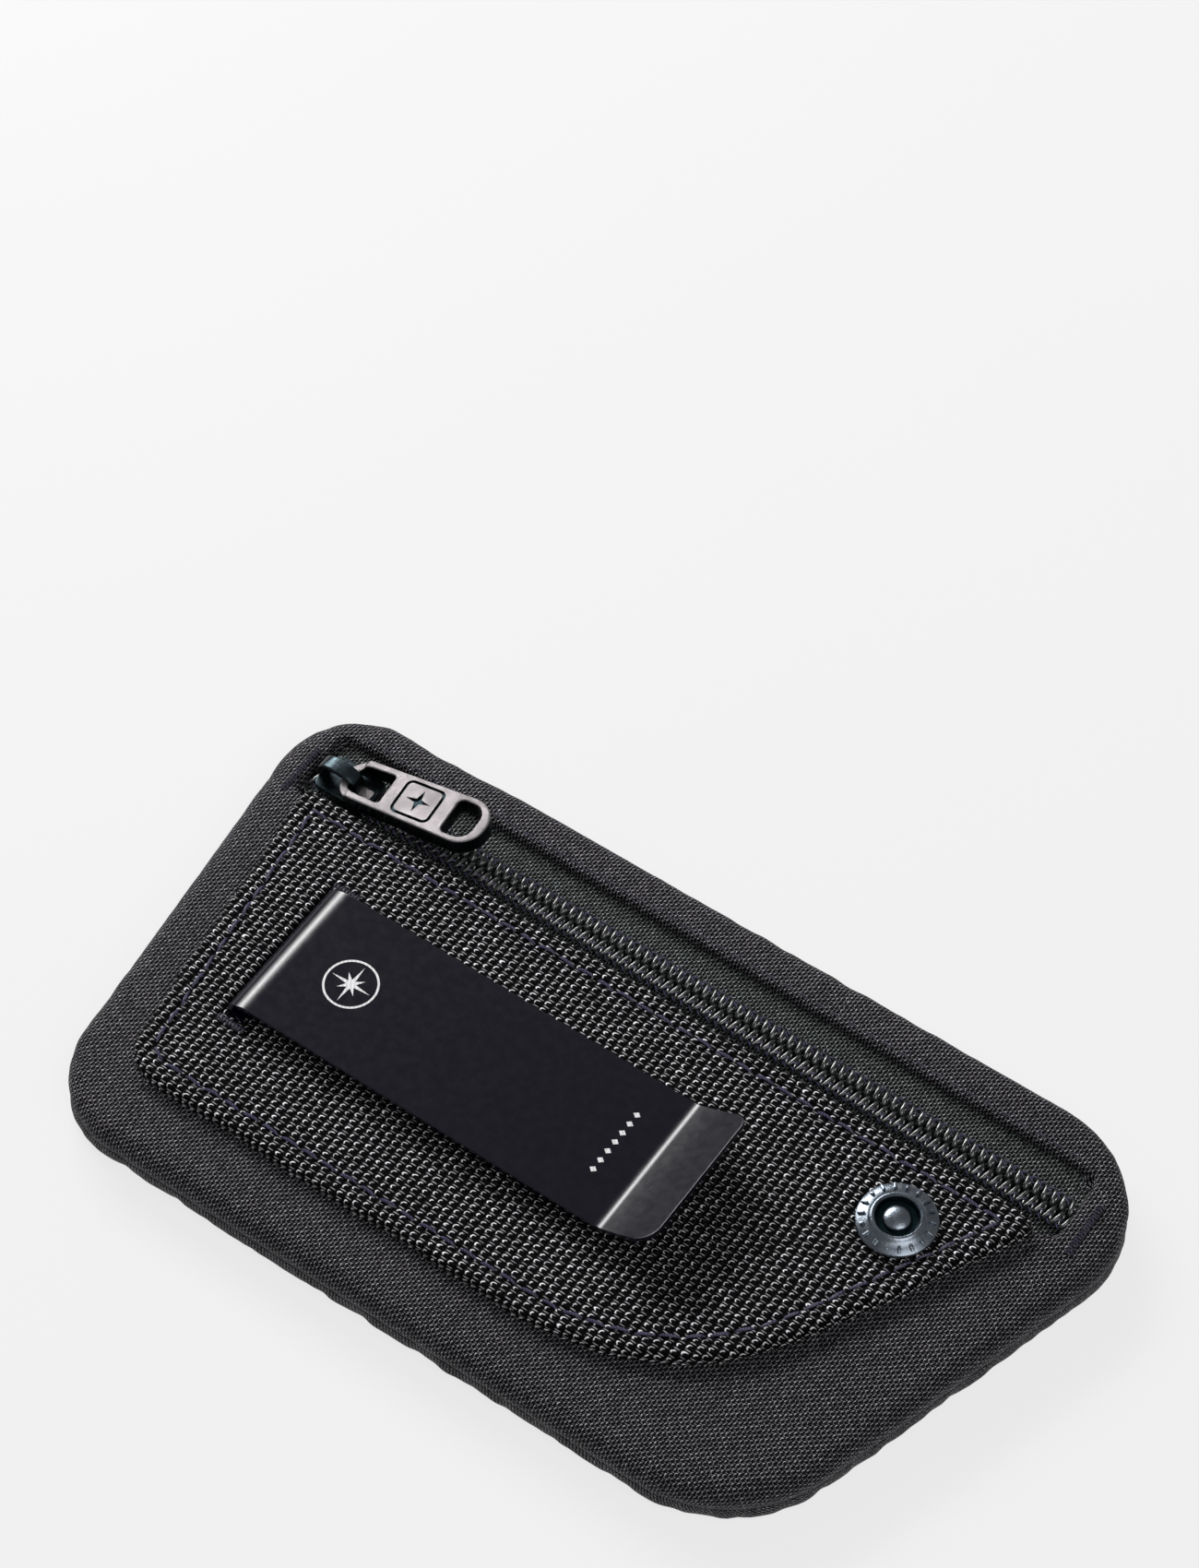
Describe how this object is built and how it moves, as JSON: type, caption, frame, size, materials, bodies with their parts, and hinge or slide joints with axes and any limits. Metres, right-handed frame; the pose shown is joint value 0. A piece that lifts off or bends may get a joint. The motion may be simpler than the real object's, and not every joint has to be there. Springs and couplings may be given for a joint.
{
  "type": "zipped travel pouch with belt clip",
  "caption": "Flat zipped fabric pouch for travel documents or money, with a sprung steel belt clip on its front, a metal zip puller and a capped rivet.",
  "frame": {"origin": "under the middle of the pouch, on the surface that its back lies on", "axes": "+X along the zip from the closed end to the open end, +Y towards the zip side, +Z out of the front, where the clip is"},
  "size_m": [0.1242, 0.0704, 0.0151],
  "materials": {
    "panel_fabric": "matt woven nylon, charcoal",
    "patch_fabric": "coarse net-like weave over foam, black",
    "tape_weave": "fine herringbone zip tape, black",
    "coil_nylon": "moulded nylon coil, black",
    "slider_metal": "cast zinc, gunmetal",
    "puller_metal": "cast zinc, satin grey face with dark sides",
    "clip_steel": "spring steel, blued nearly black",
    "rivet_metal": "gunmetal plated brass",
    "sewing_thread": "bonded nylon thread, dark violet blue"
  },
  "bodies": {
    "pouch": {"front_panel": "panel_fabric", "back_panel": "panel_fabric", "patch": "patch_fabric", "zip_tape_upper": "tape_weave", "zip_tape_lower": "tape_weave", "zip_coil_upper": "coil_nylon", "zip_coil_lower": "coil_nylon", "clip_lower_leaf": "clip_steel", "rivet_cap": "rivet_metal", "rivet_post": "rivet_metal", "bartack_left": "sewing_thread", "bartack_right": "sewing_thread", "patch_seam_thread": "sewing_thread", "zip_seam_thread": "sewing_thread", "clip_tack_upper": "sewing_thread", "clip_tack_lower": "sewing_thread"},
    "slider": {"slider_body": "slider_metal", "slider_crown": "slider_metal"},
    "puller": {"puller": "puller_metal"},
    "clip_arm": {"clip_upper_leaf": "clip_steel"}
  },
  "joints": [
    {"name": "slider_slide", "type": "slide", "parent": "pouch", "child": "slider", "axis": [1, 0, 0], "range_m": [0, 0.099]},
    {"name": "puller_swing", "type": "hinge", "parent": "slider", "child": "puller", "pos_m": [-0.05135, 0.0221, 0.00885], "axis": [0.0958, -0.9954, 0], "range_deg": [0, 160]},
    {"name": "clip_flex", "type": "hinge", "parent": "pouch", "child": "clip_arm", "pos_m": [-0.0408, -0.0031, 0.00887], "axis": [0, -1, 0], "range_deg": [0, 8], "stiffness_Nm_per_rad": 3}
  ]
}
